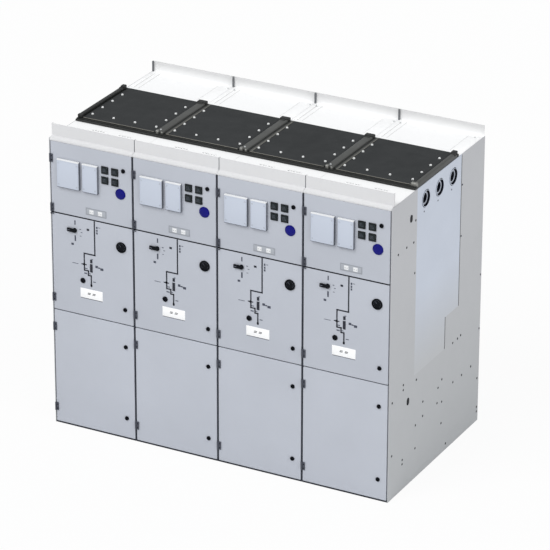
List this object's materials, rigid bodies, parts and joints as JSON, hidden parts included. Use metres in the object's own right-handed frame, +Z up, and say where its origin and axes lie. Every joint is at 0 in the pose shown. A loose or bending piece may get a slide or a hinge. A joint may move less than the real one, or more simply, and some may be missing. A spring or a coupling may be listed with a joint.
{
  "type": "row of gas-insulated medium-voltage switchgear panels",
  "caption": "Floor-standing row of metal-clad switchgear panels with hinged low-voltage, mechanism and cable doors, round busbar sockets in both ends and black tank covers on the roof.",
  "frame": {"origin": "on the floor, under the middle of the row's bounding box", "axes": "+X to the right along the row seen from the front, +Y from the doors to the back, +Z up"},
  "size_m": [2.414, 1.34, 2.082],
  "materials": {
    "door_grey": "blue-grey powder coat, fine texture",
    "relay_plastic": "pale blue-grey plastic covers",
    "fitting_black": "black plastic",
    "base_paint": "dark grey semi-matt paint",
    "side_grey": "bare grey coated sheet steel, satin",
    "plate_blue_grey": "light blue-grey satin sheet",
    "socket_resin": "dark cast resin, satin",
    "inner_sheet": "coated sheet steel, satin",
    "frame_grey": "dark grey paint",
    "hinge_dark": "dark grey die-cast, painted",
    "roof_white": "pale grey-white paint",
    "cornice_white": "pale grey paint",
    "cover_black": "black powder coat, matt",
    "ridge_grey": "dark grey powder coat",
    "tank_steel": "brushed stainless steel",
    "bushing_resin": "red-brown cast resin",
    "drive_grey": "grey coated steel",
    "mount_zinc": "zinc-coated sheet"
  },
  "bodies": {
    "root": {"base_frame": "base_paint", "end_walls": "side_grey", "tank_side_plates": "plate_blue_grey", "busbar_sockets": "socket_resin", "partitions": "inner_sheet", "shelves": "inner_sheet", "compartment_backs": "inner_sheet", "front_frame": "frame_grey", "frame_hinges": "hinge_dark", "rear_wall": "side_grey", "front_roof": "roof_white", "front_upstand": "cornice_white", "rear_roof": "roof_white", "rear_upstand": "cornice_white", "rear_posts": "frame_grey", "tank_covers": "cover_black", "tank_ridges": "ridge_grey", "tank_rails": "cover_black", "gas_tanks": "tank_steel", "bushings": "bushing_resin", "drive_units": "drive_grey", "lv_mounting_plates": "mount_zinc"},
    "lv_leaf_1": {"lv_door_1": "door_grey", "lv_fittings_1": "relay_plastic"},
    "mech_leaf_1": {"mech_door_1": "door_grey", "mech_fittings_1": "fitting_black"},
    "cable_leaf_1": {"cable_door_1": "door_grey", "cable_fittings_1": "fitting_black"},
    "lv_leaf_2": {"lv_door_2": "door_grey", "lv_fittings_2": "relay_plastic"},
    "mech_leaf_2": {"mech_door_2": "door_grey", "mech_fittings_2": "fitting_black"},
    "cable_leaf_2": {"cable_door_2": "door_grey", "cable_fittings_2": "fitting_black"},
    "lv_leaf_3": {"lv_door_3": "door_grey", "lv_fittings_3": "relay_plastic"},
    "mech_leaf_3": {"mech_door_3": "door_grey", "mech_fittings_3": "fitting_black"},
    "cable_leaf_3": {"cable_door_3": "door_grey", "cable_fittings_3": "fitting_black"},
    "lv_leaf_4": {"lv_door_4": "door_grey", "lv_fittings_4": "relay_plastic"},
    "mech_leaf_4": {"mech_door_4": "door_grey", "mech_fittings_4": "fitting_black"},
    "cable_leaf_4": {"cable_door_4": "door_grey", "cable_fittings_4": "fitting_black"}
  },
  "joints": [
    {"name": "lv_door_1_swing", "type": "hinge", "parent": "root", "child": "lv_leaf_1", "pos_m": [-1.197, -0.655, 1.7], "axis": [0, 0, -1], "range_deg": [0, 115]},
    {"name": "mech_door_1_swing", "type": "hinge", "parent": "root", "child": "mech_leaf_1", "pos_m": [-1.197, -0.655, 1.15], "axis": [0, 0, -1], "range_deg": [0, 115]},
    {"name": "cable_door_1_swing", "type": "hinge", "parent": "root", "child": "cable_leaf_1", "pos_m": [-1.197, -0.655, 0.41], "axis": [0, 0, -1], "range_deg": [0, 115]},
    {"name": "lv_door_2_swing", "type": "hinge", "parent": "root", "child": "lv_leaf_2", "pos_m": [-0.597, -0.655, 1.7], "axis": [0, 0, -1], "range_deg": [0, 115]},
    {"name": "mech_door_2_swing", "type": "hinge", "parent": "root", "child": "mech_leaf_2", "pos_m": [-0.597, -0.655, 1.15], "axis": [0, 0, -1], "range_deg": [0, 115]},
    {"name": "cable_door_2_swing", "type": "hinge", "parent": "root", "child": "cable_leaf_2", "pos_m": [-0.597, -0.655, 0.41], "axis": [0, 0, -1], "range_deg": [0, 115]},
    {"name": "lv_door_3_swing", "type": "hinge", "parent": "root", "child": "lv_leaf_3", "pos_m": [0.003, -0.655, 1.7], "axis": [0, 0, -1], "range_deg": [0, 115]},
    {"name": "mech_door_3_swing", "type": "hinge", "parent": "root", "child": "mech_leaf_3", "pos_m": [0.003, -0.655, 1.15], "axis": [0, 0, -1], "range_deg": [0, 115]},
    {"name": "cable_door_3_swing", "type": "hinge", "parent": "root", "child": "cable_leaf_3", "pos_m": [0.003, -0.655, 0.41], "axis": [0, 0, -1], "range_deg": [0, 115]},
    {"name": "lv_door_4_swing", "type": "hinge", "parent": "root", "child": "lv_leaf_4", "pos_m": [0.603, -0.655, 1.7], "axis": [0, 0, -1], "range_deg": [0, 115]},
    {"name": "mech_door_4_swing", "type": "hinge", "parent": "root", "child": "mech_leaf_4", "pos_m": [0.603, -0.655, 1.15], "axis": [0, 0, -1], "range_deg": [0, 115]},
    {"name": "cable_door_4_swing", "type": "hinge", "parent": "root", "child": "cable_leaf_4", "pos_m": [0.603, -0.655, 0.41], "axis": [0, 0, -1], "range_deg": [0, 115]}
  ]
}
